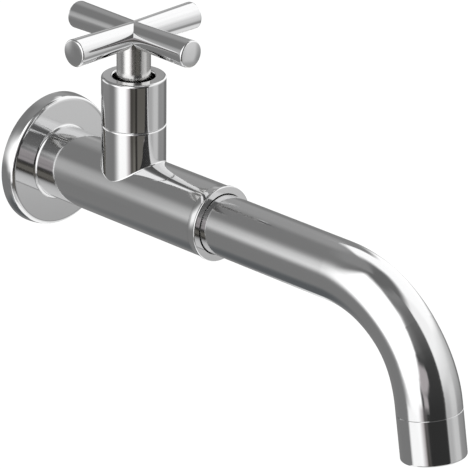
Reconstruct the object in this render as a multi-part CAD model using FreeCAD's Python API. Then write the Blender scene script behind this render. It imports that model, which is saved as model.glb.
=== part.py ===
import FreeCAD, Part
import math
import os

# Wall-mounted cold water tap with a cross handle and a long bent spout.
# Millimetres. The wall is the plane Y = 0, the tap reaches out along -Y, and +Z is up.
# The origin is the middle of the inlet, at the wall.
# "Reach" is the distance from the wall along the barrel, "height" the one above its axis.

# Clearances
SLIP = 0.05            # between threaded, brazed and pushed-in pieces
RUNNING = 0.08         # radial, between a turning piece and its bore
FILM = 0.04            # between flat faces that slide on each other
SEAL_EASE = 0.03       # between a seal and the groove or face that it seats on
CUT_MARGIN = 1.0       # how far a cutting shape reaches past the wall that it cuts
TOUCH = 1e-4           # how near two places are that count as one

# Wall flange
FLANGE_RADIUS = 30.2
FLANGE_THICKNESS = 6.6
FLANGE_CROWN = 1.1     # how far the rim curves in between the wall and the face
FLANGE_EDGE = 1.9
FLANGE_WALL = 2.0
FLANGE_HOLE_GAP = 0.4
FLANGE_BOSS_WALL = 2.6

# Inlet nipple, with a half-inch pipe thread behind the wall plane
THREAD_RADIUS = 10.48
THREAD_LENGTH = 16.0
THREAD_CHAMFER = 1.0
NIPPLE_NECK_RADIUS = 10.0
NIPPLE_BORE = 7.5
NIPPLE_SPIGOT_RADIUS = 11.6
NIPPLE_SPIGOT_LENGTH = 14.0

# Barrel of the body
BODY_RADIUS = 16.2
FOOT_FLARE = 1.2
RING_REACH = 102.2
INLET_CHAMBER_RADIUS = 11.5
INLET_RADIUS = 6.5
OUTLET_RADIUS = 11.5
OUTLET_WALL = 7.0
OUTLET_LENGTH = 4.15
PORT_RADIUS = 4.0
PORT_DROP = 9.5
PORT_RUN = 12.0
PORT_OFFSET = 5.5
PORT_LIFT = 0.5

# Column of the body and its valve seat
COLUMN_REACH = 52.5
COLUMN_RADIUS = 14.15
COLUMN_FILLET = 0.6
SEAM_HEIGHT = 31.2
SEAM_ROUND = 0.9
SEAM_EDGE = 0.3
UPSTAND_WALL = 1.8
UPSTAND_HEIGHT = 3.8
SEAT_HEIGHT = 10.0
SEAT_RADIUS = 5.5
CHAMBER_RADIUS = 9.9
CHAMBER_HEIGHT = 12.5

# Bonnet cover
COVER_TOP = 53.1
COVER_EDGE = 1.1
COVER_BORE = 9.3
COVER_BORE_EDGE = 0.8
COVER_ROOF = 2.5
COVER_HEX_GAP = 0.2

# Ceramic headwork
HEX_HEIGHT = 5.0
HEX_ACROSS_FLATS = 21.2
WASHER_THICKNESS = 1.0
NOSE_GAP = 1.0
NOSE_WALL = 1.3
NECK_RADIUS = 7.2
NECK_LENGTH = 4.0
WINDOW_HEIGHT = 2.4
WINDOW_ANGLE = 60.0

# Ceramic discs and seat seal
SEAL_HEIGHT = 2.5
SEAL_RADIUS = 7.4
SEAL_BORE = 5.2
DISC_RADIUS = 7.5
DISC_THICKNESS = 3.0
MOVING_DISC_RADIUS = 7.3
PORT_INNER = 2.0
PORT_OUTER = 6.0
PORT_ANGLE = 80.0
KEY_WIDTH = 3.0
KEY_REACH = 0.7

# Spindle
SPINDLE_RADIUS = 5.0
DRIVER_RADIUS = 7.0
DRIVER_THICKNESS = 3.0
DRIVER_ANGLE = 60.0
TURN = 90.0
STOP_EASE = 1.0
DOG_DEPTH = 1.2
DOG_WIDTH = 3.0
DOG_INNER = 2.6
DOG_OUTER = 6.0
SPINDLE_WASHER = 0.6
SPLINE_RADIUS = 4.0
SPLINE_DEPTH = 0.45
SPLINE_TEETH = 20
SPLINE_TIP_SHARE = 0.4
SPLINE_ROOT_SHARE = 0.3
SPLINE_END = 62.0
O_RING_SECTION = 0.75
LOWER_O_RING_HEIGHT = 29.0
UPPER_O_RING_HEIGHT = 34.5
CIRCLIP_THICKNESS = 0.9
CIRCLIP_RADIUS = 6.2
CIRCLIP_GROOVE = 0.8
CIRCLIP_OPENING = 50.0

# Cross handle
HUB_RADIUS = 7.45
HUB_BOTTOM = 46.9
HUB_EDGE = 0.5
HUB_BURIED = 1.8
ARM_HEIGHT = 71.8
ARM_ROOT_RADIUS = 5.5
ARM_END_RADIUS = 6.1
ARM_LENGTH = 35.6
ARM_EDGE = 0.8
ARM_CROWN = 0.5        # how far the end's middle stands out from its rim
ARM_FLAT = 0.6         # radius of the flat in the end's middle
ARM_COUNT = 4
GRUB_HEIGHT = 59.5
GRUB_RADIUS = 2.0
GRUB_RECESS = 0.4
GRUB_SOCKET_FLATS = 2.0
GRUB_SOCKET_DEPTH = 1.6

# Spout
TUBE_RADIUS = 13.25
TUBE_WALL = 1.3
TAIL_SPIGOT_LENGTH = 12.0
SPOUT_STRAIGHT = 176.8
BEND_RADIUS = 51.9
BEND_ANGLE = 80.5
FLARE_ANGLE = 35.0
FLARE_SECTIONS = 8
TUBE_END = 3.0
SPOUT_O_RING_SECTION = 1.0
SPOUT_O_RING_MARGIN = 4.0
SPOUT_O_RING_SPACING = 7.0
SPLIT_RING_RADIUS = 14.5
SPLIT_RING_THICKNESS = 1.8
SPLIT_RING_GROOVE = 1.1
SPLIT_RING_OPENING = 24.0
TAIL_BORE = 9.8

# Spout ring
RING_RADIUS = 16.8
RING_LENGTH = 4.8
RING_LAND = 1.0
RING_EDGE = 0.5
RING_BORE_GAP = 0.35
RING_BORE_EDGE = 0.2
RING_THREAD_WALL = 1.2
RING_THREAD_LENGTH = 6.0

# Nozzle and aerator
NOZZLE_RADIUS = 14.05
NOZZLE_LENGTH = 20.2
NOZZLE_EDGE = 1.0
NOZZLE_TOP_EDGE = 0.15
NOZZLE_WALL = 1.5
NOZZLE_LIP = 1.2
NOZZLE_LIP_BORE = 10.4
ADAPTER_SPIGOT_LENGTH = 5.0
ADAPTER_THREAD_LENGTH = 8.0
ADAPTER_BORE = 9.6
AERATOR_SEAL_HEIGHT = 1.6
AERATOR_SEAL_BORE = 9.4
PLATE_THICKNESS = 1.2
PLATE_HOLE = 0.6
PLATE_PITCH = 2.4
CAGE_WALL = 1.2
CAGE_RIM = 1.4
CAGE_BAR = 1.6
SCREEN_THICKNESS = 0.8
SCREEN_HOLE = 0.55
SCREEN_PITCH = 1.7

X = FreeCAD.Vector(1, 0, 0)
Y = FreeCAD.Vector(0, 1, 0)
Z = FreeCAD.Vector(0, 0, 1)
CENTRE = FreeCAD.Vector(0, 0, 0)

# Each axis is a start point, the way along it and a way out from it.
BARREL = (CENTRE, Y * -1, Z)
COLUMN = (Y * -COLUMN_REACH, Z, X)
BEND_CENTRE = Y * -SPOUT_STRAIGHT + Z * -BEND_RADIUS
BEND_END = BEND_CENTRE + FreeCAD.Rotation(X, BEND_ANGLE).multVec(Z * BEND_RADIUS)
OUTLET = (
    BEND_END,
    FreeCAD.Rotation(X, BEND_ANGLE).multVec(Y * -1),
    X,
)


def at(axis, station):
    """Point on an axis."""
    return axis[0] + axis[1] * station


def turned(axis, corners):
    """Half section of (station, radius) corners, spun about an axis.

    A corner with a third entry is a point that an arc passes through.
    """
    places = [at(axis, corner[0]) + axis[2] * corner[1] for corner in corners]
    places.append(places[0])
    on_arc = [len(corner) > 2 for corner in corners] + [False]
    edges = []
    start = places[0]
    middle = None
    for place, passing in zip(places[1:], on_arc[1:]):
        if passing:
            middle = place
            continue
        edge = Part.Arc(start, middle, place).toShape() if middle else Part.makeLine(start, place)
        edges.append(edge)
        start = place
        middle = None
    solid = Part.Face(Part.Wire(edges)).revolve(axis[0], axis[1], 360)
    if solid.Volume < 0:
        solid.reverse()
    return solid


def halfway(run, rise):
    """Rise at the middle of an arc that starts level and ends at the whole rise."""
    radius = (run * run + rise * rise) / (2 * rise)
    return radius - math.sqrt(radius * radius - run * run / 4)


def rod(axis, start, end, radius):
    """Plain cylinder between two stations."""
    return Part.makeCylinder(radius, end - start, at(axis, start), axis[1])


def sleeve(axis, start, end, outer, inner):
    """Plain ring or tube between two stations."""
    return rod(axis, start, end, outer).cut(rod(axis, start, end, inner))


def ring_edges(solid, axis, rims):
    """Circular edges at the given (station, radius) places."""
    found = []
    for station, radius in rims:
        for edge in solid.Edges:
            curve = edge.Curve
            round_edge = isinstance(curve, Part.Circle) and abs(curve.Radius - radius) < TOUCH
            if round_edge and curve.Center.distanceToPoint(at(axis, station)) < TOUCH:
                found.append(edge)
    return found


def chamfered(solid, axis, rims, size):
    return solid.makeChamfer(size, ring_edges(solid, axis, rims))


def rounded(solid, axis, rims, size):
    return solid.makeFillet(size, ring_edges(solid, axis, rims))


def off_axis(axis, point):
    """Distance of a point from an axis."""
    return (point - axis[0]).cross(axis[1]).Length


def meeting_edges(solid, axis, radius, other_axis, other_radius):
    """Edges where two round surfaces meet."""
    found = []
    for edge in solid.Edges:
        gaps = [abs(off_axis(axis, point) - radius) + abs(off_axis(other_axis, point) - other_radius)
                for point in edge.discretize(5)]
        if max(gaps) < TOUCH:
            found.append(edge)
    return found


def sector(axis, start, end, inner, outer, middle_angle, width_angle):
    """Slice of a ring, as wide as an angle, about a middle direction."""
    blank = Part.makeCylinder(outer, end - start, CENTRE, Z, width_angle)
    if inner > 0:
        blank = blank.cut(Part.makeCylinder(inner, end - start, CENTRE, Z))
    blank.rotate(CENTRE, Z, middle_angle - width_angle / 2)
    return placed(blank, axis, start)


def placed(solid, axis, station):
    """Move a piece made on +Z at the centre to a station of an axis, its +X along the way out."""
    along, out = axis[1], axis[2]
    across = along.cross(out)
    matrix = FreeCAD.Matrix(
        out.x, across.x, along.x, 0,
        out.y, across.y, along.y, 0,
        out.z, across.z, along.z, 0,
        0, 0, 0, 1,
    )
    moved = solid.copy()
    moved.transformShape(matrix)
    moved.translate(at(axis, station))
    return moved


def hexagon(axis, start, end, across_flats):
    """Six-sided bar between two stations."""
    radius = across_flats / math.sqrt(3)
    corners = [spot(radius, 60 * side) for side in range(7)]
    bar = Part.Face(Part.makePolygon(corners)).extrude(Z * (end - start))
    return placed(bar, axis, start)


def spot(radius, angle):
    """Point on a circle about the centre."""
    return X * (radius * math.cos(math.radians(angle))) + Y * (radius * math.sin(math.radians(angle)))


def splined(axis, start, end, radius):
    """Toothed bar between two stations."""
    step = 360 / SPLINE_TEETH
    tip = step * SPLINE_TIP_SHARE / 2
    root = step * SPLINE_ROOT_SHARE / 2
    corners = []
    for tooth in range(SPLINE_TEETH):
        middle = step * tooth
        gap = middle + step / 2
        corners.append(spot(radius, middle - tip))
        corners.append(spot(radius, middle + tip))
        corners.append(spot(radius - SPLINE_DEPTH, gap - root))
        corners.append(spot(radius - SPLINE_DEPTH, gap + root))
    corners.append(corners[0])
    bar = Part.Face(Part.makePolygon(corners)).extrude(Z * (end - start))
    return placed(bar, axis, start)


def o_ring(axis, station, outer, section):
    """Rubber ring with its outside at a radius."""
    return Part.makeTorus(outer - section, section, at(axis, station), axis[1])


def bend_section(angle, radius):
    """Circle about the spout's centre line, at an angle of its bend."""
    turn = FreeCAD.Rotation(X, angle)
    centre = BEND_CENTRE + turn.multVec(Z * BEND_RADIUS)
    return Part.Wire(Part.makeCircle(radius, centre, turn.multVec(Y)))


def bend_rod(radius, angle):
    """Round bar along the first part of the spout's bend."""
    return Part.Face(bend_section(0, radius)).revolve(BEND_CENTRE, X, angle)


def flare():
    """Last part of the bend, which widens smoothly to the nozzle's radius."""
    sections = []
    for step in range(FLARE_SECTIONS + 1):
        share = step / FLARE_SECTIONS
        radius = TUBE_RADIUS + (NOZZLE_RADIUS - TUBE_RADIUS) * share * share * (3 - 2 * share)
        sections.append(bend_section(FLARE_START + FLARE_ANGLE * share, radius))
    return Part.makeLoft(sections, True)


# Sizes that follow from the ones above
RING_THREAD_REACH = RING_REACH - RING_THREAD_LENGTH
RING_FRONT = RING_REACH + RING_LENGTH
RING_BORE = TUBE_RADIUS + RING_BORE_GAP
RING_THREAD_RADIUS = RING_BORE + RING_THREAD_WALL
SPLIT_RING_REACH = RING_THREAD_REACH - SLIP
SHOULDER_REACH = SPLIT_RING_REACH - SPLIT_RING_THICKNESS - FILM
OUTLET_START = COLUMN_REACH + INLET_RADIUS + OUTLET_WALL
SOCKET_END = OUTLET_START + OUTLET_LENGTH
TAIL_END = SOCKET_END + SLIP
TAIL_FRONT = RING_THREAD_REACH + SLIP
TUBE_BORE = TUBE_RADIUS - TUBE_WALL
FLARE_START = BEND_ANGLE - FLARE_ANGLE
SOCKET_RADIUS = TUBE_RADIUS + RUNNING
UPSTAND_TOP = SEAM_HEIGHT + UPSTAND_HEIGHT
UPSTAND_RADIUS = THREAD_RADIUS + SLIP + UPSTAND_WALL
CHAMBER_TOP = SEAT_HEIGHT + CHAMBER_HEIGHT
HEX_BOTTOM = UPSTAND_TOP + WASHER_THICKNESS
HEX_TOP = HEX_BOTTOM + HEX_HEIGHT
NECK_TOP = HEX_TOP + NECK_LENGTH
COVER_INSIDE = max(HEX_ACROSS_FLATS / math.sqrt(3), UPSTAND_RADIUS) + COVER_HEX_GAP
NOSE_BOTTOM = SEAT_HEIGHT + NOSE_GAP
DISC_BOTTOM = SEAT_HEIGHT + SEAL_HEIGHT
DISC_TOP = DISC_BOTTOM + DISC_THICKNESS
MOVING_BOTTOM = DISC_TOP + FILM
DRIVER_BOTTOM = MOVING_BOTTOM + DISC_THICKNESS
DRIVER_TOP = DRIVER_BOTTOM + DRIVER_THICKNESS
WASHER_TOP = DRIVER_TOP + FILM + SPINDLE_WASHER
CAGE_BORE = DISC_RADIUS + SLIP
STOP_ANGLE = 180.0 - DRIVER_ANGLE - TURN - 2 * STOP_EASE
NOSE_RADIUS = CAGE_BORE + NOSE_WALL
SPINDLE_BORE = SPINDLE_RADIUS + RUNNING
CIRCLIP_BOTTOM = NECK_TOP + FILM
CIRCLIP_TOP = CIRCLIP_BOTTOM + CIRCLIP_THICKNESS
FLANGE_FACE_RADIUS = FLANGE_RADIUS - FLANGE_CROWN
HOLLOW_RADIUS = FLANGE_FACE_RADIUS - FLANGE_WALL
SEAL_BACK = FLANGE_THICKNESS - FLANGE_WALL
BOSS_BORE = THREAD_RADIUS + FLANGE_HOLE_GAP
BOSS_RADIUS = BOSS_BORE + FLANGE_BOSS_WALL
NOZZLE_BORE = NOZZLE_RADIUS - NOZZLE_WALL
NOZZLE_END = TUBE_END + NOZZLE_LENGTH
ADAPTER_END = TUBE_END + ADAPTER_THREAD_LENGTH
CAGE_TOP = ADAPTER_END + AERATOR_SEAL_HEIGHT
CAGE_BOTTOM = NOZZLE_END - NOZZLE_LIP
CAGE_RADIUS = NOZZLE_BORE - 2 * SLIP
QUADRANTS = (0.0, 90.0, 180.0, 270.0)
SIDES = (0.0, 180.0)
FRONT_AND_BACK = (90.0, 270.0)


def wall_flange():
    """Cover disc with a crowned rim, a hollow back and a boss around the nipple."""
    disc = turned(BARREL, [
        (0, 0),
        (0, FLANGE_RADIUS),
        (FLANGE_THICKNESS / 2, FLANGE_RADIUS - halfway(FLANGE_THICKNESS, FLANGE_CROWN), "arc"),
        (FLANGE_THICKNESS, FLANGE_FACE_RADIUS),
        (FLANGE_THICKNESS, 0),
    ])
    disc = rounded(disc, BARREL, [(FLANGE_THICKNESS, FLANGE_FACE_RADIUS)], FLANGE_EDGE)
    hollow = sleeve(BARREL, 0, SEAL_BACK, HOLLOW_RADIUS, BOSS_RADIUS)
    hole = rod(BARREL, 0, FLANGE_THICKNESS, BOSS_BORE)
    return disc.cut([hollow, hole])


def flange_seal():
    """Foam ring that fills the flange's hollow back."""
    return sleeve(BARREL, 0, SEAL_BACK - SLIP, HOLLOW_RADIUS - SLIP, BOSS_RADIUS + SLIP)


def inlet_nipple():
    """Threaded inlet with a spigot that is brazed into the barrel."""
    shoulder = FLANGE_THICKNESS + SLIP
    spigot_end = shoulder + NIPPLE_SPIGOT_LENGTH
    nipple = turned(BARREL, [
        (-THREAD_LENGTH, NIPPLE_BORE),
        (-THREAD_LENGTH, THREAD_RADIUS),
        (0, THREAD_RADIUS),
        (0, NIPPLE_NECK_RADIUS),
        (shoulder, NIPPLE_NECK_RADIUS),
        (shoulder, NIPPLE_SPIGOT_RADIUS),
        (spigot_end, NIPPLE_SPIGOT_RADIUS),
        (spigot_end, NIPPLE_BORE),
    ])
    return chamfered(nipple, BARREL, [(-THREAD_LENGTH, THREAD_RADIUS)], THREAD_CHAMFER)


def barrel_outside():
    """Barrel with a small flared foot against the flange."""
    foot = FOOT_FLARE
    corner = foot * (1 - math.sqrt(0.5))
    return turned(BARREL, [
        (FLANGE_THICKNESS, 0),
        (FLANGE_THICKNESS, BODY_RADIUS + foot),
        (FLANGE_THICKNESS + corner, BODY_RADIUS + corner, "arc"),
        (FLANGE_THICKNESS + foot, BODY_RADIUS),
        (RING_REACH, BODY_RADIUS),
        (RING_REACH, 0),
    ])


def column_outside():
    """Column that stands on the barrel, with the threaded upstand for its cover."""
    column = turned(COLUMN, [
        (0, 0),
        (0, COLUMN_RADIUS),
        (SEAM_HEIGHT, COLUMN_RADIUS),
        (SEAM_HEIGHT, UPSTAND_RADIUS),
        (UPSTAND_TOP, UPSTAND_RADIUS),
        (UPSTAND_TOP, 0),
    ])
    return rounded(column, COLUMN, [(SEAM_HEIGHT, COLUMN_RADIUS)], SEAM_ROUND)


def body():
    """Barrel and column in one, with the waterway and the valve seat."""
    outside = barrel_outside().fuse(column_outside())
    root = meeting_edges(outside, BARREL, BODY_RADIUS, COLUMN, COLUMN_RADIUS)
    outside = outside.makeFillet(COLUMN_FILLET, root)
    socket_end = FLANGE_THICKNESS + NIPPLE_SPIGOT_LENGTH + 2 * SLIP
    nipple_socket = rod(BARREL, FLANGE_THICKNESS, socket_end, NIPPLE_SPIGOT_RADIUS + SLIP)
    inlet_chamber = rod(BARREL, socket_end, COLUMN_REACH - COLUMN_RADIUS, INLET_CHAMBER_RADIUS)
    inlet = rod(BARREL, FLANGE_THICKNESS, COLUMN_REACH + INLET_RADIUS, INLET_RADIUS)
    seat = rod(COLUMN, 0, SEAT_HEIGHT, SEAT_RADIUS)
    chamber = rod(COLUMN, SEAT_HEIGHT, CHAMBER_TOP, CHAMBER_RADIUS)
    thread = rod(COLUMN, CHAMBER_TOP, UPSTAND_TOP, THREAD_RADIUS + SLIP)
    outlet = rod(BARREL, OUTLET_START, SOCKET_END, OUTLET_RADIUS)
    socket = rod(BARREL, SOCKET_END, SHOULDER_REACH, SOCKET_RADIUS)
    ring_thread = rod(BARREL, SHOULDER_REACH, RING_REACH, RING_THREAD_RADIUS + SLIP)
    port_start = at(BARREL, COLUMN_REACH + PORT_OFFSET) + Z * (SEAT_HEIGHT + PORT_RADIUS + PORT_LIFT)
    port_way = Y * -PORT_RUN + Z * -PORT_DROP
    port = Part.makeCylinder(PORT_RADIUS, port_way.Length, port_start, port_way)
    waterway = [inlet_chamber, inlet, seat, chamber, port, outlet]
    return outside.cut(waterway + [nipple_socket, thread, socket, ring_thread])


def bonnet_cover():
    """Sleeve that hides the headwork, screwed on the column's upstand."""
    bottom = SEAM_HEIGHT + SLIP
    cover = rod(COLUMN, bottom, COVER_TOP, COLUMN_RADIUS)
    thread = rod(COLUMN, bottom, UPSTAND_TOP + WASHER_THICKNESS, UPSTAND_RADIUS + SLIP)
    inside = rod(COLUMN, UPSTAND_TOP + WASHER_THICKNESS, COVER_TOP - COVER_ROOF, COVER_INSIDE)
    bore = rod(COLUMN, COVER_TOP - COVER_ROOF, COVER_TOP, COVER_BORE)
    cover = cover.cut([thread, inside, bore])
    cover = chamfered(cover, COLUMN, [(bottom, COLUMN_RADIUS)], SEAM_EDGE)
    cover = rounded(cover, COLUMN, [(COVER_TOP, COLUMN_RADIUS)], COVER_EDGE)
    return rounded(cover, COLUMN, [(COVER_TOP, COVER_BORE)], COVER_BORE_EDGE)


def cartridge_body():
    """Brass housing of the headwork: nose, thread, hexagon and neck, with windows and stops."""
    outside = turned(COLUMN, [
        (NOSE_BOTTOM, 0),
        (NOSE_BOTTOM, NOSE_RADIUS),
        (CHAMBER_TOP, NOSE_RADIUS),
        (CHAMBER_TOP, THREAD_RADIUS),
        (HEX_BOTTOM, THREAD_RADIUS),
        (HEX_BOTTOM, NECK_RADIUS),
        (NECK_TOP, NECK_RADIUS),
        (NECK_TOP, 0),
    ])
    outside = outside.fuse(hexagon(COLUMN, HEX_BOTTOM, HEX_TOP, HEX_ACROSS_FLATS))
    disc_bore = rod(COLUMN, NOSE_BOTTOM, WASHER_TOP + FILM, CAGE_BORE)
    spindle_bore = rod(COLUMN, WASHER_TOP + FILM, NECK_TOP, SPINDLE_BORE)
    cuts = [disc_bore, spindle_bore]
    for angle in SIDES:
        cuts.append(sector(COLUMN, DRIVER_BOTTOM, DRIVER_BOTTOM + WINDOW_HEIGHT, CAGE_BORE - CUT_MARGIN,
                           NOSE_RADIUS + CUT_MARGIN, angle, WINDOW_ANGLE))
    for angle in FRONT_AND_BACK:
        cuts.append(key(angle, NOSE_BOTTOM, DISC_TOP, KEY_WIDTH + 2 * SLIP, KEY_REACH + SLIP))
    housing = outside.cut(cuts)
    stops = [sector(COLUMN, DRIVER_BOTTOM + FILM, DRIVER_TOP, SPINDLE_BORE, NOSE_RADIUS - NOSE_WALL / 2,
                    angle + TURN / 2, STOP_ANGLE) for angle in FRONT_AND_BACK]
    return housing.fuse(stops)


def key(angle, start, end, width, reach):
    """Ear that keys the fixed disc in the headwork."""
    ear = Part.makeBox(DISC_RADIUS + reach - PORT_INNER, width, end - start,
                       X * PORT_INNER + Y * (-width / 2))
    ear.rotate(CENTRE, Z, angle)
    return placed(ear, COLUMN, start)


def cartridge_washer():
    """Flat washer between the upstand and the headwork's hexagon."""
    return sleeve(COLUMN, UPSTAND_TOP, HEX_BOTTOM - SEAL_EASE, UPSTAND_RADIUS - SLIP, THREAD_RADIUS + SLIP)


def seat_seal():
    """Rubber ring between the body's seat and the fixed disc."""
    return sleeve(COLUMN, SEAT_HEIGHT, DISC_BOTTOM - SEAL_EASE, SEAL_RADIUS, SEAL_BORE)


def fixed_disc():
    """Lower ceramic disc with two ports and two keys."""
    disc = rod(COLUMN, DISC_BOTTOM, DISC_TOP, DISC_RADIUS)
    ears = [key(angle, DISC_BOTTOM, DISC_TOP, KEY_WIDTH, KEY_REACH) for angle in FRONT_AND_BACK]
    ports = [sector(COLUMN, DISC_BOTTOM, DISC_TOP, PORT_INNER, PORT_OUTER, angle, PORT_ANGLE)
             for angle in SIDES]
    return disc.fuse(ears).cut(ports)


def dogs(width, depth):
    """Bars under the driver that turn the moving disc."""
    bars = []
    for angle in SIDES:
        bar = Part.makeBox(DOG_OUTER - DOG_INNER, width, depth, X * DOG_INNER + Y * (-width / 2))
        bar.rotate(CENTRE, Z, angle)
        bars.append(placed(bar, COLUMN, DRIVER_BOTTOM - depth))
    return bars


def moving_disc():
    """Upper ceramic disc, shut at rest, with two slots for the driver."""
    disc = rod(COLUMN, MOVING_BOTTOM, DRIVER_BOTTOM - SLIP, MOVING_DISC_RADIUS)
    ports = [sector(COLUMN, MOVING_BOTTOM, DRIVER_BOTTOM, PORT_INNER, PORT_OUTER, angle, PORT_ANGLE)
             for angle in FRONT_AND_BACK]
    return disc.cut(ports + dogs(DOG_WIDTH + 2 * SLIP, DOG_DEPTH + SLIP))


def spindle():
    """Stem with the driver and its dogs, two grooves, the circlip's groove and the spline."""
    floor = SPINDLE_BORE - 2 * O_RING_SECTION - 2 * SEAL_EASE
    stem = rod(COLUMN, DRIVER_BOTTOM, HUB_BOTTOM - SLIP, SPINDLE_RADIUS)
    spline = splined(COLUMN, HUB_BOTTOM - SLIP, SPLINE_END, SPLINE_RADIUS)
    lobes = [sector(COLUMN, DRIVER_BOTTOM, DRIVER_TOP, 0, DRIVER_RADIUS, angle, DRIVER_ANGLE)
             for angle in SIDES]
    grooves = [groove(COLUMN, height, O_RING_SECTION, SPINDLE_RADIUS, floor)
               for height in (LOWER_O_RING_HEIGHT, UPPER_O_RING_HEIGHT)]
    clip_groove = sleeve(COLUMN, CIRCLIP_BOTTOM - FILM, CIRCLIP_TOP + FILM, SPINDLE_RADIUS,
                         SPINDLE_RADIUS - CIRCLIP_GROOVE)
    return stem.fuse([spline] + lobes + dogs(DOG_WIDTH, DOG_DEPTH)).cut(grooves + [clip_groove])


def groove(axis, station, section, outer, floor):
    """Ring of material that an O-ring's groove takes away."""
    half_width = section + SEAL_EASE
    return sleeve(axis, station - half_width, station + half_width, outer, floor)


def spindle_washer():
    """Low-friction washer between the driver and the headwork's shoulder."""
    return sleeve(COLUMN, DRIVER_TOP + FILM, WASHER_TOP, CAGE_BORE - SLIP, SPINDLE_BORE)


def spindle_o_ring(height):
    """Rubber ring between the spindle and the headwork's bore."""
    return o_ring(COLUMN, height, SPINDLE_BORE - SEAL_EASE, O_RING_SECTION)


def spindle_circlip():
    """Open spring ring above the headwork's neck."""
    ring = sleeve(COLUMN, CIRCLIP_BOTTOM, CIRCLIP_TOP, CIRCLIP_RADIUS,
                  SPINDLE_RADIUS - CIRCLIP_GROOVE + SEAL_EASE)
    opening = sector(COLUMN, CIRCLIP_BOTTOM, CIRCLIP_TOP, 0, CIRCLIP_RADIUS + CUT_MARGIN, 0, CIRCLIP_OPENING)
    return ring.cut(opening)


def handle():
    """Cross of four tapered arms on a hub, bored for the spline and the grub screw."""
    hub = rod(COLUMN, HUB_BOTTOM, ARM_HEIGHT - HUB_BURIED, HUB_RADIUS)
    hub = chamfered(hub, COLUMN, [(HUB_BOTTOM, HUB_RADIUS)], HUB_EDGE)
    arms = [arm(360 / ARM_COUNT * place) for place in range(ARM_COUNT)]
    cross = arms[0].fuse(arms[1:] + [hub])
    spline = splined(COLUMN, HUB_BOTTOM, SPLINE_END + SLIP, SPLINE_RADIUS + SLIP)
    screw_hole = rod(grub_axis(), 0, HUB_RADIUS + CUT_MARGIN, GRUB_RADIUS + SLIP)
    return cross.cut([spline, screw_hole])


def arm(angle):
    """One arm, slightly thicker at its rounded and crowned end."""
    rim = ARM_LENGTH - ARM_CROWN
    crown = halfway(ARM_END_RADIUS - ARM_FLAT, ARM_CROWN)
    axis = (at(COLUMN, ARM_HEIGHT), FreeCAD.Rotation(Z, angle).multVec(X), Z)
    solid = turned(axis, [
        (0, 0),
        (0, ARM_ROOT_RADIUS),
        (rim, ARM_END_RADIUS),
        (ARM_LENGTH - crown, (ARM_END_RADIUS + ARM_FLAT) / 2, "arc"),
        (ARM_LENGTH, ARM_FLAT),
        (ARM_LENGTH, 0),
    ])
    return rounded(solid, axis, [(rim, ARM_END_RADIUS)], ARM_EDGE)


def grub_axis():
    """Axis of the grub screw, from the spindle towards the wall."""
    return (at(COLUMN, GRUB_HEIGHT), Y, Z)


def handle_grub_screw():
    """Headless screw with a hexagon socket."""
    start = SPLINE_RADIUS + SLIP
    end = HUB_RADIUS - GRUB_RECESS
    screw = rod(grub_axis(), start, end, GRUB_RADIUS)
    return screw.cut(hexagon(grub_axis(), end - GRUB_SOCKET_DEPTH, end, GRUB_SOCKET_FLATS))


def spout_ring():
    """Flared ring that screws into the barrel and keeps the spout in."""
    back = RING_REACH + SLIP
    land = RING_FRONT - RING_LAND
    flare = halfway(land - back, RING_RADIUS - BODY_RADIUS)
    ring = turned(BARREL, [
        (RING_THREAD_REACH, RING_BORE),
        (RING_THREAD_REACH, RING_THREAD_RADIUS),
        (back, RING_THREAD_RADIUS),
        (back, BODY_RADIUS),
        ((back + land) / 2, BODY_RADIUS + flare, "arc"),
        (land, RING_RADIUS),
        (RING_FRONT, RING_RADIUS),
        (RING_FRONT, RING_BORE),
    ])
    ring = rounded(ring, BARREL, [(RING_FRONT, RING_RADIUS)], RING_EDGE)
    return rounded(ring, BARREL, [(RING_FRONT, RING_BORE)], RING_BORE_EDGE)


def spout_tube():
    """Bent tube from the tail to the nozzle, with a plain bore and a thicker wall at its mouth."""
    straight = rod(BARREL, TAIL_FRONT, SPOUT_STRAIGHT, TUBE_RADIUS)
    mouth = rod(OUTLET, 0, TUBE_END, NOZZLE_RADIUS)
    outside = straight.fuse([bend_rod(TUBE_RADIUS, FLARE_START), flare(), mouth])
    straight_bore = rod(BARREL, TAIL_FRONT, SPOUT_STRAIGHT, TUBE_BORE)
    mouth_bore = rod(OUTLET, 0, TUBE_END, TUBE_BORE)
    tube = outside.cut(straight_bore.fuse([bend_rod(TUBE_BORE, BEND_ANGLE), mouth_bore]))
    return chamfered(tube, OUTLET, [(TUBE_END, NOZZLE_RADIUS)], NOZZLE_TOP_EDGE)


def spout_o_ring_reaches():
    """Places of the two O-rings along the tail."""
    rear = TAIL_END + SPOUT_O_RING_MARGIN
    return (rear, rear + SPOUT_O_RING_SPACING)


def spout_o_ring(reach):
    """Rubber ring between the tail and the barrel's socket."""
    return o_ring(BARREL, reach, SOCKET_RADIUS - SEAL_EASE, SPOUT_O_RING_SECTION)


def spout_tail():
    """Turned tail with two O-ring grooves and the split ring's groove."""
    spigot_end = TAIL_FRONT + TAIL_SPIGOT_LENGTH
    tail = turned(BARREL, [
        (TAIL_END, TAIL_BORE),
        (TAIL_END, TUBE_RADIUS),
        (TAIL_FRONT - SLIP, TUBE_RADIUS),
        (TAIL_FRONT - SLIP, TUBE_BORE - SLIP),
        (spigot_end, TUBE_BORE - SLIP),
        (spigot_end, TAIL_BORE),
    ])
    floor = SOCKET_RADIUS - 2 * SPOUT_O_RING_SECTION - 2 * SEAL_EASE
    grooves = [groove(BARREL, reach, SPOUT_O_RING_SECTION, TUBE_RADIUS, floor)
               for reach in spout_o_ring_reaches()]
    clip_groove = sleeve(BARREL, SPLIT_RING_REACH - SPLIT_RING_THICKNESS - FILM, SPLIT_RING_REACH + FILM,
                         TUBE_RADIUS, TUBE_RADIUS - SPLIT_RING_GROOVE)
    return tail.cut(grooves + [clip_groove])


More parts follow.
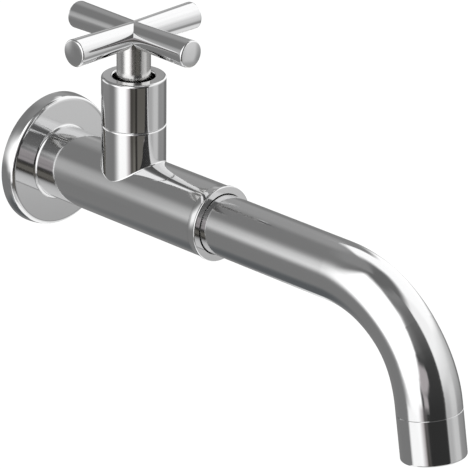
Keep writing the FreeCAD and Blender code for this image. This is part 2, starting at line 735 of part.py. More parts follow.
def spout_split_ring():
    """Open ring in the tail's groove, between the barrel's shoulder and the spout ring."""
    start = SPLIT_RING_REACH - SPLIT_RING_THICKNESS + FILM
    end = SPLIT_RING_REACH - FILM
    ring = sleeve(BARREL, start, end, SPLIT_RING_RADIUS, TUBE_RADIUS - SPLIT_RING_GROOVE + SEAL_EASE)
    opening = sector(BARREL, start, end, 0, SPLIT_RING_RADIUS + CUT_MARGIN, 0, SPLIT_RING_OPENING)
    return ring.cut(opening)


def outlet_adapter():
    """Threaded end piece, brazed into the tube's mouth."""
    return turned(OUTLET, [
        (TUBE_END - ADAPTER_SPIGOT_LENGTH, ADAPTER_BORE),
        (TUBE_END - ADAPTER_SPIGOT_LENGTH, TUBE_BORE - SLIP),
        (ADAPTER_END, TUBE_BORE - SLIP),
        (ADAPTER_END, ADAPTER_BORE),
    ])


def nozzle_housing():
    """End sleeve of the spout with a lip that carries the aerator."""
    start = TUBE_END + SLIP
    housing = rod(OUTLET, start, NOZZLE_END, NOZZLE_RADIUS)
    thread = rod(OUTLET, start, ADAPTER_END, TUBE_BORE)
    inside = rod(OUTLET, ADAPTER_END, CAGE_BOTTOM, NOZZLE_BORE)
    mouth = rod(OUTLET, CAGE_BOTTOM, NOZZLE_END, NOZZLE_LIP_BORE)
    housing = housing.cut([thread, inside, mouth])
    housing = chamfered(housing, OUTLET, [(start, NOZZLE_RADIUS)], NOZZLE_TOP_EDGE)
    return rounded(housing, OUTLET, [(NOZZLE_END, NOZZLE_RADIUS)], NOZZLE_EDGE)


def aerator_seal():
    """Rubber ring between the adapter and the aerator."""
    return sleeve(OUTLET, ADAPTER_END + SEAL_EASE, CAGE_TOP - SEAL_EASE, CAGE_RADIUS, AERATOR_SEAL_BORE)


def perforated(axis, start, end, radius, hole, pitch):
    """Round plate with a square grid of holes that keeps clear of its rim."""
    plate = rod(axis, start, end, radius)
    count = int(radius / pitch)
    holes = []
    for column in range(-count, count + 1):
        for row in range(-count, count + 1):
            place = X * (column * pitch) + Y * (row * pitch)
            if place.Length < radius - hole - pitch / 2:
                holes.append(placed(Part.makeCylinder(hole, end - start, place, Z), axis, start))
    return plate.cut(holes)


def aerator_inlet_plate():
    """Perforated plate that splits the water into jets."""
    return perforated(OUTLET, CAGE_TOP + CAGE_RIM, CAGE_TOP + CAGE_RIM + PLATE_THICKNESS,
                      CAGE_RADIUS - CAGE_WALL - SLIP, PLATE_HOLE, PLATE_PITCH)


def aerator_screen():
    """Outlet mesh, level with the bottom of the cage."""
    radius = NOZZLE_LIP_BORE - CAGE_WALL - SLIP
    return perforated(OUTLET, CAGE_BOTTOM - SCREEN_THICKNESS, CAGE_BOTTOM, radius, SCREEN_HOLE, SCREEN_PITCH)


def aerator_cage():
    """Plastic insert: rim, wall, a cross of bars under the inlet plate and a foot for the screen."""
    bottom = CAGE_BOTTOM - SLIP
    seat = CAGE_TOP + CAGE_RIM + PLATE_THICKNESS + SLIP
    screen_radius = NOZZLE_LIP_BORE - CAGE_WALL
    cage = rod(OUTLET, CAGE_TOP, bottom, CAGE_RADIUS)
    pocket = rod(OUTLET, CAGE_TOP, seat, CAGE_RADIUS - CAGE_WALL)
    chamber = rod(OUTLET, seat, bottom, screen_radius)
    bars = []
    for angle in QUADRANTS:
        bar = Part.makeBox(screen_radius + SLIP, CAGE_BAR, CAGE_BAR, Y * (-CAGE_BAR / 2))
        bar.rotate(CENTRE, Z, angle)
        bars.append(placed(bar, OUTLET, seat))
    return cage.cut([pocket, chamber]).fuse(bars)


def write(name, solid):
    """Save one piece as a STEP file."""
    solid.removeSplitter().exportStep(os.path.join("parts", name + ".step"))


def main():
    os.makedirs("parts", exist_ok=True)
    write("wall_flange", wall_flange())
    write("flange_seal", flange_seal())
    write("inlet_nipple", inlet_nipple())
    write("body", body())
    write("bonnet_cover", bonnet_cover())
    write("cartridge_body", cartridge_body())
    write("cartridge_washer", cartridge_washer())
    write("seat_seal", seat_seal())
    write("fixed_disc", fixed_disc())
    write("moving_disc", moving_disc())
    write("spindle", spindle())
    write("spindle_washer", spindle_washer())
    write("spindle_o_ring_lower", spindle_o_ring(LOWER_O_RING_HEIGHT))
    write("spindle_o_ring_upper", spindle_o_ring(UPPER_O_RING_HEIGHT))
    write("spindle_circlip", spindle_circlip())
    write("handle", handle())
    write("handle_grub_screw", handle_grub_screw())
    write("spout_ring", spout_ring())
    write("spout_tube", spout_tube())
    write("spout_tail", spout_tail())
    rear, front = spout_o_ring_reaches()
    write("spout_o_ring_rear", spout_o_ring(rear))
    write("spout_o_ring_front", spout_o_ring(front))
    write("spout_split_ring", spout_split_ring())
    write("outlet_adapter", outlet_adapter())
    write("nozzle_housing", nozzle_housing())
    write("aerator_seal", aerator_seal())
    write("aerator_inlet_plate", aerator_inlet_plate())
    write("aerator_cage", aerator_cage())
    write("aerator_screen", aerator_screen())


main()
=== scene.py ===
import bpy
import math
from collections import namedtuple
from mathutils import Matrix, Vector, noise


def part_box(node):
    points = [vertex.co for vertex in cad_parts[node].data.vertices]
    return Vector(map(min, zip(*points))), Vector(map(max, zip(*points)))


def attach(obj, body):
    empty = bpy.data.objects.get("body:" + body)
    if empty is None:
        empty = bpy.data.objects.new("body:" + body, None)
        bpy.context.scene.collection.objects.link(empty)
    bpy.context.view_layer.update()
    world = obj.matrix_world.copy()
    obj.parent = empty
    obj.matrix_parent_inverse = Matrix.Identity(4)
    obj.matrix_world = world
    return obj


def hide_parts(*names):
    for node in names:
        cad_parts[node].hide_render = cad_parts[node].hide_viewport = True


# Looks of the cold water tap: materials, two dressed pieces, studio and camera.
# Metres, in the part's own frame: the wall is the plane Y = 0, the tap reaches along -Y, and +Z is up.
# A direction is an azimuth and an elevation in degrees: azimuth 0 is -Y, and 90 is +X.

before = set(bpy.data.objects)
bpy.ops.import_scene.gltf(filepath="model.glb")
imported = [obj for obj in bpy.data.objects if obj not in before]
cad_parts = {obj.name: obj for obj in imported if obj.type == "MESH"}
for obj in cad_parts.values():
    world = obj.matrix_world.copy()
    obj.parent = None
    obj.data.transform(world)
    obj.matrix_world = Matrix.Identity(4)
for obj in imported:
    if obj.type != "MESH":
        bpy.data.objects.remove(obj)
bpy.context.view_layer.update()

# Camera
PICTURE_WIDTH = 470          # pixels, square
FOCAL_PIXELS = 3879.79
SENSOR_WIDTH = 36.0          # mm
CAMERA_AZIMUTH = -45.32
CAMERA_ELEVATION = 22.92
CAMERA_ROLL = 0.65
CAMERA_DISTANCE = 1.65173
NEAREST = 0.01               # what the camera sees lies between nearest and farthest
FARTHEST = 100.0
AIM = Vector((0.0, -0.11488, -0.00266))

WHITE = (1.0, 1.0, 1.0, 1.0)

# Floor and daylight
FLOOR_HEIGHT = -0.30
FLOOR_SIZE = 12.0
FLOOR_DARK = (0.93, 0.93, 0.93, 1.0)
FLOOR_LIGHT = (0.95, 0.95, 0.95, 1.0)
DAYLIGHT = 1.12

# Pieces turned round the barrel's axis
SMOOTH_ANGLE = 38.0          # faces that meet at more degrees keep a sharp edge

# Inlet nipple with its half-inch pipe thread
THREAD_PITCH = 0.001814
THREAD_DEPTH = 0.00116
THREAD_RADIUS = 0.01048
THREAD_ROWS = 14             # rows of points to a turn's pitch
THREAD_FLAT = 0.12           # share of a half turn's pitch that is flat at the root, and at the crest
THREAD_RUNOUT = 0.0022
THREAD_GAP = 0.00002         # from the thread's last row to the neck
LEAD_CHAMFER = 0.0010
NIPPLE_SIDES = 96
NIPPLE_BORE = 0.0075
MOUTH_LAND = 0.0004          # width of the flat round the nipple's mouth
NECK_RADIUS = 0.0100
SPIGOT_START = -0.00665

# Flange seal: closed-cell foam ring
SEAL_SIDES = 160
SEAL_BORE_RADIUS = 0.01353
SEAL_ROUND = 0.0006
SEAL_ROUND_STEPS = 6
SEAL_UNEVEN = 0.00022
SEAL_UNEVEN_SCALE = 260      # waves to a metre, about
BACK_SINK = 0.6              # share of the unevenness that the seal's wall side takes
SIDE_SINK = 0.5              # and the rest of it
FRONT_RINGS = (0.75, 0.5, 0.25)    # shares of the seal's width at which a ring of points lies
BACK_RINGS = (0.15, 0.3, 0.45, 0.6, 0.75, 0.9)

# Light tent, which only the polish sees. A level is about the brightness that it has in the picture.
TENT_RADIUS = 1.2
TENT_SEGMENTS = 64
TENT_RINGS = 32
TENT_GAIN = 1.48
DISPLAY_GAMMA = 2.2
DEGREES = 180 / math.pi      # in a radian
ROOM = 0.455
FAR = 400.0                  # an edge so far away that the patch has no end there
WARM = (1.05, 1.0, 0.90, 1.0)
ROSE = (1.05, 0.98, 1.0, 1.0)
COOL = (0.94, 1.0, 1.05, 1.0)

# A patch of light lies between the azimuths west and east and the elevations low and high. soft has the
# widths of these four edges. A value that isn't one number is a line: its points are (elevation, value),
# and for low and high and their edges (azimuth, value). The patches inside are painted over it, and tint
# colours it.
Patch = namedtuple("Patch", "level west east low high soft inside tint", defaults=((), None))

TENT = (
    # Ceiling, darker in front
    Patch(0.50, -FAR, FAR, 58, FAR, (1, 1, 16, 1)),
    Patch(0.39, -130, 112, 54, FAR, (40, 40, 16, 1)),
    # Foot of the wall
    Patch(0.34, -FAR, FAR, -FAR, -46.5, (1, 1, 1, 11), (), COOL),
    # Pale table under the tap, and its far end beside the wall
    Patch(0.72, -125, 122, -FAR, -42, (30, 20, 1, 12)),
    Patch(0.84, -30, 118, -FAR, -40, (60, 16, 1, 12)),
    Patch(0.94, -FAR, FAR, -FAR,
          ((-180, -64), (-160, -62), (-150, -54), (-134, -47), (-127, -42), (-118, -29), (-108, -30),
           (-94, -62), (112, -62), (127, -22), (139, -37), (152, -47), (166, -62), (180, -64)),
          (1, 1, 1, 7)),
    # Lit wall behind the tap
    Patch(0.95, -FAR, -141, -10, 21, (1, 16, 22, 22)),
    Patch(0.56, 126, 165, 14, 60, (16, 30, 16, 16)),
    Patch(0.66, 139, 145, -6, 24, (5, 5, 8, 10)),
    Patch(0.48, 108, 127, -20, 40, (6, 7, 10, 14)),
    # Right soft box
    Patch(((-22, 0.62), (0, 0.72), (10, 0.84), (26, 0.94)),
          ((10, 8), (26, 11), (50, 16), (60, 21)),
          ((-26, 128), (-14, 123), (8, 119), (18, 114), (28, 113), (34, 133), (41, 134)),
          -26, ((86, 58), (98, 61)), (7, 8, 5, 15), (
              Patch(((-24, 0.71), (4, 0.82)), 28, 53, -FAR, 4, (18, 10, 1, 12)),
              Patch(((-22, 0.51), (2, 0.73), (14, 0.87)), 56, FAR, -FAR, 10, (12, 1, 1, 16)),
              Patch(0.41, 93, FAR, -FAR, -12, (18, 1, 1, 10)),
              Patch(0.985, ((-22, 131), (25, 57)), FAR, -24, FAR, (16, 1, 5, 1)),
              Patch(0.58, 98, 112, -FAR, -26, (6, 8, 1, 5)),
          )),
    # Its foot
    Patch(((-36, 0.54), (-24, 0.62)), 4, 60, -38, -24, (8, 30, 8, 5)),
    # Dark gap between the boxes
    Patch(((-16, 0.19), (8, 0.225), (24, 0.25), (38, 0.34), (56, 0.42), (70, 0.50)),
          -72, ((10, 8), (26, 11), (50, 16), (60, 21)), -37, 72, (4, 7, 8, 12), (
              Patch(((26, 0.42), (50, 0.48)), -FAR, -28, 25, 58, (1, 34, 14, 10)),
              Patch(0.34, -FAR, -49, -17.5, -10, (1, 8, 2, 4), (), ROSE),
              Patch(0.62, -57, -29.5, ((-56, -3), (-40, 0), (-30, 9)), ((-56, 9), (-47, 18), (-30, 19)),
                    (4, 4, 6, 6), (), ROSE),
              Patch(0.62, -54, -41, -11, -1, (4, 5, 5, 5), (), ROSE),
              Patch(((-21.4, 0.32), (-20, 0.265)), -FAR, -38, -FAR, -16.5, (1, 6, 1, 2), (), WARM),
              Patch(((-21.4, 0.42), (-20, 0.29)), -49, -39, -FAR, -16.5, (5, 4, 1, 2), (), WARM),
              Patch(((-21.4, 0.385), (-20, 0.34)), -34, -3, -FAR, -16.5, (5, 3, 1, 2), (), WARM),
              Patch(0.195, -40.5, -34.5, -FAR, -16.5, (3, 4, 1, 2), (), WARM),
              Patch(0.12, -3, FAR, -FAR, -16.5, (3, 1, 1, 2)),
          )),
    # Left soft box, with a hazy rear edge
    Patch(0.87, -134, -112, -1, 35, (24, 10, 20, 30)),
    Patch(((-22, 0.965), (-12, 1.06)),
          ((-28, -116), (-23, -114), (-21.5, -110), (-18, -110), (-13, -117), (0, -121), (12, -122),
           (32, -118), (38, -118), (72, -111)),
          ((-20, -58), (-14, -60), (-2, -60), (12, -52), (24, -46.5), (36, -44.5), (42, -44.5), (50, -38)),
          -30, ((-100, 74), (-80, 72), (-64, 67), (-56, 61), (-44, 49)),
          (((-24, 10), (-21.5, 30), (-18, 30), (-13, 18), (14, 14)), ((38, 7), (50, 16)), 6, 16), (
              Patch(0.57, -67, FAR, -FAR, -12, (22, 1, 1, 8), (), ROSE),
          )),
)


# Node trees

# A noise texture's settings
Grain = namedtuple("Grain", "scale detail roughness", defaults=(2.0, 0.5))


class Graph:
    """Builds a node tree with few words."""

    def __init__(self, tree):
        self.tree = tree
        tree.nodes.clear()

    def node(self, kind, inputs=None, **settings):
        made = self.tree.nodes.new(kind)
        for key, value in settings.items():
            setattr(made, key, value)
        for key, value in (inputs or {}).items():
            self.feed(made.inputs[key], value)
        return made

    def feed(self, socket, value):
        if isinstance(value, bpy.types.NodeSocket):
            self.tree.links.new(value, socket)
        else:
            socket.default_value = value

    def math(self, operation, first, second=0.0):
        return self.node("ShaderNodeMath", {0: first, 1: second}, operation=operation).outputs[0]

    def ramp(self, value, low, high, start=0.0, end=1.0, kind="SMOOTHSTEP"):
        """Goes smoothly from start to end while value goes from low to high."""
        made = self.node("ShaderNodeMapRange", {"Value": value, "From Min": low, "From Max": high,
                                                "To Min": start, "To Max": end})
        made.interpolation_type = kind
        return made.outputs["Result"]

    def mix(self, under, over, share):
        return self.node("ShaderNodeMix", {"Factor": share, "A": under, "B": over},
                         data_type="FLOAT").outputs["Result"]

    def mix_colour(self, under, over, share):
        """Colours have sockets of their own in the mix node, which are found by number."""
        return self.node("ShaderNodeMix", {0: share, 6: under, 7: over}, data_type="RGBA").outputs[2]

    def noise(self, vector, grain):
        inputs = {"Vector": vector, "Scale": grain.scale, "Detail": grain.detail,
                  "Roughness": grain.roughness}
        return self.node("ShaderNodeTexNoise", inputs).outputs["Fac"]

    def bump(self, height, distance, strength=1.0, normal=None):
        inputs = {"Height": height, "Distance": distance, "Strength": strength}
        if normal is not None:
            inputs["Normal"] = normal
        return self.node("ShaderNodeBump", inputs).outputs["Normal"]

    def place(self):
        """Position on the piece, which doesn't slide when it moves."""
        return self.node("ShaderNodeTexCoord").outputs["Object"]

    def stretched(self, vector, scale):
        return self.node("ShaderNodeMapping", {"Vector": vector, "Scale": scale}).outputs["Vector"]


def material(name):
    made = bpy.data.materials.new(name)
    made.use_nodes = True
    return made, Graph(made.node_tree)


def surface(graph, **inputs):
    """Principled surface and its output."""
    names = {"colour": "Base Color", "metal": "Metallic", "rough": "Roughness", "normal": "Normal",
             "specular": "Specular IOR Level"}
    shader = graph.node("ShaderNodeBsdfPrincipled", {names[key]: value for key, value in inputs.items()})
    graph.node("ShaderNodeOutputMaterial", {"Surface": shader.outputs[0]})


# Materials

CHROME_DARK = (0.669, 0.671, 0.674, 1.0)
CHROME_LIGHT = (0.690, 0.690, 0.692, 1.0)
HAZE = Grain(38.0, 3.0, 0.55)
HAZE_SPAN = (0.35, 0.75)     # a span: the noise's values between which its effect comes in
HAZE_ROUGHER = 0.025
WIPED = Grain(4.0)
WIPED_STRETCH = (30.0, 30.0, 260.0)
WIPED_SPAN = (0.55, 0.8)
WIPED_ROUGHER = 0.02
MARKS = Grain(620.0, 2.0, 0.6)     # of polishing
MARKS_SPAN = (0.6, 0.8)
MARKS_ROUGHER = 0.012
MARKS_DEPTH = 2.2e-7
PEEL = Grain(110.0, 1.0, 0.4)      # orange peel
PEEL_DEPTH = 4.5e-6
SATIN = (0.694, 0.690, 0.680, 1.0)
SATIN_ROUGH = (0.17, 0.23)
SATIN_TOP = 0.0675           # height up to which the handle's hub is satin
SATIN_EDGE = 0.0008

PATCH_SPAN = (0.3, 0.7)

FOAM_CELLS = 1500.0          # cells to a metre, about
FOAM_CELL_SPAN = (0.05, 0.5)
FOAM_CELL_DEPTH = 0.00012
FOAM_CELL_STRENGTH = 0.8
FOAM_SWELL = Grain(210.0, 3.0, 0.6)
FOAM_SWELL_SPAN = (0.2, 0.8)
FOAM_SWELL_SHADE = 0.7
FOAM_SWELL_DEPTH = 0.0003
FOAM_SWELL_STRENGTH = 0.6
FOAM_DARK = (0.020, 0.020, 0.021, 1.0)
FOAM_LIGHT = (0.075, 0.075, 0.078, 1.0)
FOAM_ROUGH = 0.92


def chrome(name, sheen=0.06, satin_below=None):
    """Mirror plating: faint orange peel, faint haze from wiping, and a few finer polish marks.

    Below the height satin_below it is left satin, as it came from the blasting.
    """
    made, g = material(name)
    spot = g.place()
    haze = g.noise(spot, HAZE)
    marks = g.noise(spot, MARKS)
    wiped = g.noise(g.stretched(spot, WIPED_STRETCH), WIPED)
    rough = g.math("ADD", g.ramp(haze, *HAZE_SPAN, sheen, sheen + HAZE_ROUGHER),
                   g.ramp(wiped, *WIPED_SPAN, 0.0, WIPED_ROUGHER))
    rough = g.math("ADD", rough, g.ramp(marks, *MARKS_SPAN, 0.0, MARKS_ROUGHER))
    colour = g.mix_colour(CHROME_DARK, CHROME_LIGHT, haze)
    if satin_below is not None:
        height = g.node("ShaderNodeSeparateXYZ", {0: spot}).outputs["Z"]
        satin = g.ramp(height, satin_below - SATIN_EDGE / 2, satin_below + SATIN_EDGE / 2, 1.0, 0.0)
        rough = g.mix(rough, g.ramp(marks, *PATCH_SPAN, *SATIN_ROUGH), satin)
        colour = g.mix_colour(colour, SATIN, satin)
    normal = g.bump(g.noise(spot, PEEL), PEEL_DEPTH)
    normal = g.bump(marks, MARKS_DEPTH, normal=normal)
    surface(g, colour=colour, metal=1.0, rough=rough, normal=normal)
    return made


def patchy(name, dark, light, rough, patches, grain, depth, metal=0.0):
    """Colour and roughness that change a little in patches, and a fine grain of the given depth."""
    made, g = material(name)
    spot = g.place()
    patch = g.noise(spot, patches)
    surface(g, colour=g.mix_colour((*dark, 1.0), (*light, 1.0), patch), metal=metal,
            rough=g.ramp(patch, *PATCH_SPAN, *rough), normal=g.bump(g.noise(spot, grain), depth))
    return made


def plastic(name, dark, light):
    """Moulded plastic with a fine satin grain."""
    return patchy(name, dark, light, rough=(0.32, 0.44), patches=Grain(120.0, 3.0), grain=Grain(1900.0),
                  depth=5e-6)


def foam(name):
    """Closed-cell foam: small cells with darker pits."""
    made, g = material(name)
    spot = g.place()
    cells = g.node("ShaderNodeTexVoronoi", {"Vector": spot, "Scale": FOAM_CELLS}).outputs["Distance"]
    swell = g.noise(spot, FOAM_SWELL)
    shade = g.math("MULTIPLY", g.ramp(cells, *FOAM_CELL_SPAN),
                   g.ramp(swell, *FOAM_SWELL_SPAN, FOAM_SWELL_SHADE, 1.0))
    normal = g.bump(cells, FOAM_CELL_DEPTH, FOAM_CELL_STRENGTH)
    normal = g.bump(swell, FOAM_SWELL_DEPTH, FOAM_SWELL_STRENGTH, normal)
    surface(g, colour=g.mix_colour(FOAM_DARK, FOAM_LIGHT, shade), rough=FOAM_ROUGH, normal=normal)
    return made


CHROME = chrome("polished_chrome")
TUBE_CHROME = chrome("polished_chrome_tube", sheen=0.09)
HUB_CHROME = chrome("polished_chrome_with_satin_hub", satin_below=SATIN_TOP)
# Nickel with a colour far darker than nickel's own: painted shade for the cartridge and spindle deep in
# the bonnet's gap. Its roughness is a dull finish.
SHADE_DARKENED_NICKEL = patchy("nickel_darkened_as_painted_shade", (0.07, 0.068, 0.065), (0.14, 0.136, 0.13), rough=(0.55, 0.45),
                patches=Grain(130.0, 4.0, 0.6), grain=Grain(2200.0), depth=3e-6, metal=1.0)
BRASS = patchy("turned_brass", (0.58, 0.40, 0.16), (0.69, 0.53, 0.26), rough=(0.34, 0.2),
               patches=Grain(90.0, 4.0, 0.6), grain=Grain(2200.0), depth=4e-6, metal=1.0)
STEEL = patchy("stainless_steel", (0.40, 0.40, 0.41), (0.53, 0.53, 0.54), rough=(0.38, 0.24),
               patches=Grain(240.0, 3.0, 0.6), grain=Grain(3000.0), depth=3e-6, metal=1.0)
RUBBER = patchy("black_rubber", (0.012, 0.012, 0.013), (0.035, 0.035, 0.037), rough=(0.5, 0.68),
                patches=Grain(160.0, 4.0, 0.6), grain=Grain(2600.0, 3.0), depth=8e-6)
FOAM = foam("closed_cell_foam")
WASHER = plastic("washer_plastic", (0.70, 0.69, 0.64), (0.80, 0.79, 0.74))
AERATOR = plastic("aerator_plastic", (0.50, 0.52, 0.55), (0.62, 0.64, 0.66))
CERAMIC = patchy("white_ceramic", (0.78, 0.76, 0.70), (0.86, 0.85, 0.80), rough=(0.1, 0.2),
                 patches=Grain(200.0, 3.0), grain=Grain(2400.0), depth=1.5e-6)

FINISHES = {
    "wall_flange": CHROME,
    "body": CHROME,
    "bonnet_cover": CHROME,
    "spout_ring": CHROME,
    "spout_tube": TUBE_CHROME,
    "nozzle_housing": CHROME,
    "handle": HUB_CHROME,
    "cartridge_body": SHADE_DARKENED_NICKEL,
    "spout_tail": BRASS,
    "outlet_adapter": BRASS,
    "inlet_nipple": BRASS,
    "spindle": SHADE_DARKENED_NICKEL,
    "handle_grub_screw": STEEL,
    "spindle_circlip": STEEL,
    "spout_split_ring": WASHER,
    "cartridge_washer": WASHER,
    "spindle_washer": WASHER,
    "seat_seal": RUBBER,
    "spindle_o_ring_lower": RUBBER,
    "spindle_o_ring_upper": RUBBER,
    "spout_o_ring_rear": RUBBER,
    "spout_o_ring_front": RUBBER,
    "aerator_seal": RUBBER,
    "flange_seal": FOAM,
    "fixed_disc": CERAMIC,
    "moving_disc": CERAMIC,
    "aerator_inlet_plate": AERATOR,
    "aerator_cage": AERATOR,
    "aerator_screen": AERATOR,
}

for name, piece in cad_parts.items():
    for slot in piece.material_slots:
        slot.material = FINISHES[name]


# Dressed pieces

def smooth(mesh):
    for face in mesh.polygons:
        face.use_smooth = True


def limited(value):
    return min(1.0, max(0.0, value))


def lathe(name, rings, sides, bend, finish):
    """Closed skin round the barrel's axis.

    A ring is its y, its radius and its kind, and bend gives the y and radius that it has at an angle.
    """
    points = []
    faces = []
    for row, (y, radius, kind) in enumerate(rings):
        for side in range(sides):
            angle = 2 * math.pi * side / sides
            bent_y, bent_radius = bend(y, radius, kind, angle)
            points.append((bent_radius * math.sin(angle), bent_y, bent_radius * math.cos(angle)))
        below = row * sides
        above = (row + 1) % len(rings) * sides
        for side in range(sides):
            after = (side + 1) % sides
            faces.append((below + side, below + after, above + after, above + side))
    mesh = bpy.data.meshes.new(name)
    mesh.from_pydata(points, [], faces)
    mesh.materials.append(finish)
    mesh.validate()
    smooth(mesh)
    mesh.set_sharp_from_angle(angle=math.radians(SMOOTH_ANGLE))
    made = bpy.data.objects.new(name, mesh)
    bpy.context.scene.collection.objects.link(made)
    return made


def thread_skin():
    """Inlet nipple with its real helical thread."""
    low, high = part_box("inlet_nipple")
    end, back = high.y, low.y
    spigot_radius = high.x

    def bend(y, radius, kind, angle):
        if kind != "thread":
            return y, radius
        phase = (y / THREAD_PITCH - angle / (2 * math.pi)) % 1.0
        wave = abs(2 * phase - 1)
        crest = limited((wave - THREAD_FLAT) / (1 - 2 * THREAD_FLAT))
        crest = crest * crest * (3 - 2 * crest)
        depth = THREAD_DEPTH * (1 - crest) * limited(y / THREAD_RUNOUT)
        lead = max(0.0, LEAD_CHAMFER - (end - y))
        return y, THREAD_RADIUS - max(depth, lead)

    rings = [(end, NIPPLE_BORE, ""), (end, NIPPLE_BORE + MOUTH_LAND, "")]
    rows = int(end / THREAD_PITCH * THREAD_ROWS)
    rings += [(end - (end / rows) * row, THREAD_RADIUS, "thread") for row in range(rows + 1)]
    rings += [
        (-THREAD_GAP, NECK_RADIUS, ""),
        (SPIGOT_START, NECK_RADIUS, ""),
        (SPIGOT_START, spigot_radius, ""),
        (back, spigot_radius, ""),
        (back, NIPPLE_BORE, ""),
    ]
    return lathe("inlet_nipple_threaded", rings, NIPPLE_SIDES, bend, BRASS)


def rounding(y, radius, start):
    """Rings round one of the seal's corners: a quarter turn about y and radius, from start in degrees."""
    for step in range(SEAL_ROUND_STEPS + 1):
        turn = math.radians(start + 90 * step / SEAL_ROUND_STEPS)
        yield y + SEAL_ROUND * math.cos(turn), radius + SEAL_ROUND * math.sin(turn), ""


def foam_skin():
    """Foam ring, slightly uneven, with soft corners."""
    low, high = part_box("flange_seal")
    front, back = low.y, high.y
    middle = (SEAL_BORE_RADIUS + high.x) / 2
    front_turn, back_turn = front + SEAL_ROUND, back - SEAL_ROUND
    inner_turn, outer_turn = SEAL_BORE_RADIUS + SEAL_ROUND, high.x - SEAL_ROUND
    width = outer_turn - inner_turn
    rings = [
        *rounding(back_turn, outer_turn, 0),
        *rounding(front_turn, outer_turn, 90),
        *((front, inner_turn + width * share, "") for share in FRONT_RINGS),
        *rounding(front_turn, inner_turn, 180),
        *rounding(back_turn, inner_turn, 270),
        *((back, inner_turn + width * share, "back") for share in BACK_RINGS),
    ]

    def bend(y, radius, kind, angle):
        spot = Vector((radius * math.sin(angle), y, radius * math.cos(angle))) * SEAL_UNEVEN_SCALE
        sink = SEAL_UNEVEN * (0.5 + 0.5 * noise.noise(spot))
        if kind == "back":
            return y - sink * BACK_SINK, radius
        toward = 1 if radius < middle else -1
        return y, radius + toward * sink * SIDE_SINK

    return lathe("flange_seal_foam", rings, SEAL_SIDES, bend, FOAM)


nipple = thread_skin()
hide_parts("inlet_nipple")
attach(nipple, "tap")

seal = foam_skin()
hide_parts("flange_seal")
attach(seal, "tap")


# Studio

def along(g, value, shape):
    """The patch value that holds at the given azimuth or elevation."""
    if isinstance(shape, (int, float)):
        return shape
    total = shape[0][1]
    for (start, first), (end, last) in zip(shape, shape[1:]):
        total = g.math("ADD", g.ramp(value, start, end, 0.0, last - first, "LINEAR"), total)
    return total


def beyond(g, value, edge, soft, other):
    """0 before the edge and 1 beyond it, both of which may bend with the other coordinate."""
    place = along(g, other, edge)
    half = g.math("MULTIPLY", along(g, other, soft), 0.5)
    return g.ramp(value, g.math("SUBTRACT", place, half), g.math("ADD", place, half))


def coverage(g, azimuth, elevation, patch):
    """How much of the patch shows."""
    shown = 1.0
    west_soft, east_soft, low_soft, high_soft = patch.soft
    rising = ((azimuth, elevation, patch.west, west_soft), (elevation, azimuth, patch.low, low_soft))
    falling = ((azimuth, elevation, patch.east, east_soft), (elevation, azimuth, patch.high, high_soft))
    for value, other, edge, soft in rising:
        if edge != -FAR:
            shown = g.math("MULTIPLY", shown, beyond(g, value, edge, soft, other))
    for value, other, edge, soft in falling:
        if edge != FAR:
            shown = g.math("MULTIPLY", shown, g.math("SUBTRACT", 1.0, beyond(g, value, edge, soft, other)))
    return shown


def paint(g, azimuth, elevation, patches, level, tint):
    """Level and tint with the patches painted over them in their order."""
    for patch in patches:
        shown = coverage(g, azimuth, elevation, patch)
        inner, inner_tint = paint(g, azimuth, elevation, patch.inside, along(g, elevation, patch.level),
                                  patch.tint or WHITE)
        level = g.mix(level, inner, shown)
        if inner_tint is not WHITE or tint is not WHITE:
            tint = g.mix_colour(tint, inner_tint, shown)
    return level, tint


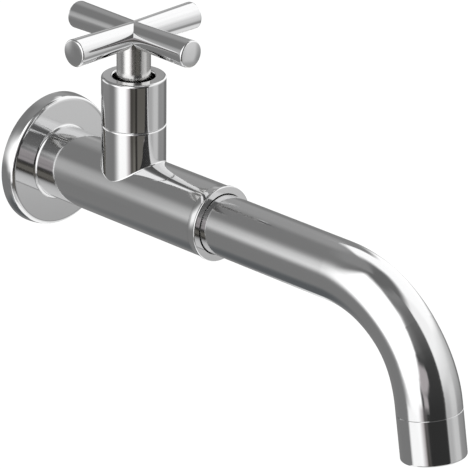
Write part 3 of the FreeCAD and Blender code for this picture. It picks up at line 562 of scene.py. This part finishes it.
def tent():
    """Grey walls, a soft box on each side and a dark gap between them, behind the camera."""
    bpy.ops.mesh.primitive_uv_sphere_add(segments=TENT_SEGMENTS, ring_count=TENT_RINGS, radius=TENT_RADIUS,
                                         location=AIM)
    made = bpy.context.object
    made.name = "light_tent"
    paper, g = material("light_tent")
    x, y, z = g.node("ShaderNodeSeparateXYZ", {0: g.place()}).outputs
    azimuth = g.math("MULTIPLY", g.math("ARCTAN2", x, g.math("MULTIPLY", y, -1.0)), DEGREES)
    elevation = g.math("MULTIPLY", g.math("ARCSINE", g.math("DIVIDE", z, TENT_RADIUS)), DEGREES)
    level, tint = paint(g, azimuth, elevation, TENT, ROOM, WHITE)
    strength = g.math("MULTIPLY", g.math("POWER", level, DISPLAY_GAMMA), TENT_GAIN)
    glowing = g.node("ShaderNodeEmission", {"Color": tint, "Strength": strength})
    g.node("ShaderNodeOutputMaterial", {"Surface": glowing.outputs[0]})
    made.data.materials.append(paper)
    smooth(made.data)
    made.visible_camera = False
    made.visible_diffuse = False
    made.visible_shadow = False
    made.visible_transmission = False


def floor():
    bpy.ops.mesh.primitive_plane_add(size=FLOOR_SIZE, location=(0, 0, FLOOR_HEIGHT))
    made = bpy.context.object
    made.name = "floor"
    pale, g = material("pale_floor")
    colour = g.mix_colour(FLOOR_DARK, FLOOR_LIGHT, g.noise(g.place(), Grain(60.0, 3.0)))
    surface(g, colour=colour, rough=0.9, specular=0.0)
    made.data.materials.append(pale)
    made.visible_glossy = False


def daylight():
    """Even white surroundings for the floor and for all that isn't metal."""
    world = bpy.data.worlds.new("studio")
    world.use_nodes = True
    g = Graph(world.node_tree)
    back = g.node("ShaderNodeBackground", {"Color": WHITE, "Strength": DAYLIGHT})
    g.node("ShaderNodeOutputWorld", {"Surface": back.outputs[0]})
    world.cycles_visibility.glossy = False
    bpy.context.scene.world = world


def camera():
    """Camera at the photograph's angle, which looks at AIM."""
    azimuth = math.radians(CAMERA_AZIMUTH)
    elevation = math.radians(CAMERA_ELEVATION)
    roll = math.radians(CAMERA_ROLL)
    back = Vector((math.sin(azimuth) * math.cos(elevation), -math.cos(azimuth) * math.cos(elevation),
                   math.sin(elevation)))
    level = Vector((math.cos(azimuth), math.sin(azimuth), 0.0))
    upright = back.cross(level)
    right = level * math.cos(roll) + upright * math.sin(roll)
    up = upright * math.cos(roll) - level * math.sin(roll)
    data = bpy.data.cameras.new("camera")
    data.sensor_width = SENSOR_WIDTH
    data.lens = FOCAL_PIXELS / PICTURE_WIDTH * SENSOR_WIDTH
    data.clip_start = NEAREST
    data.clip_end = FARTHEST
    made = bpy.data.objects.new("camera", data)
    turn = Matrix((right, up, back)).transposed().to_4x4()
    made.matrix_world = Matrix.Translation(AIM + back * CAMERA_DISTANCE) @ turn
    bpy.context.scene.collection.objects.link(made)
    bpy.context.scene.camera = made


tent()
floor()
daylight()
camera()
bpy.context.scene.view_settings.view_transform = "Standard"
bpy.context.scene.view_settings.look = "None"
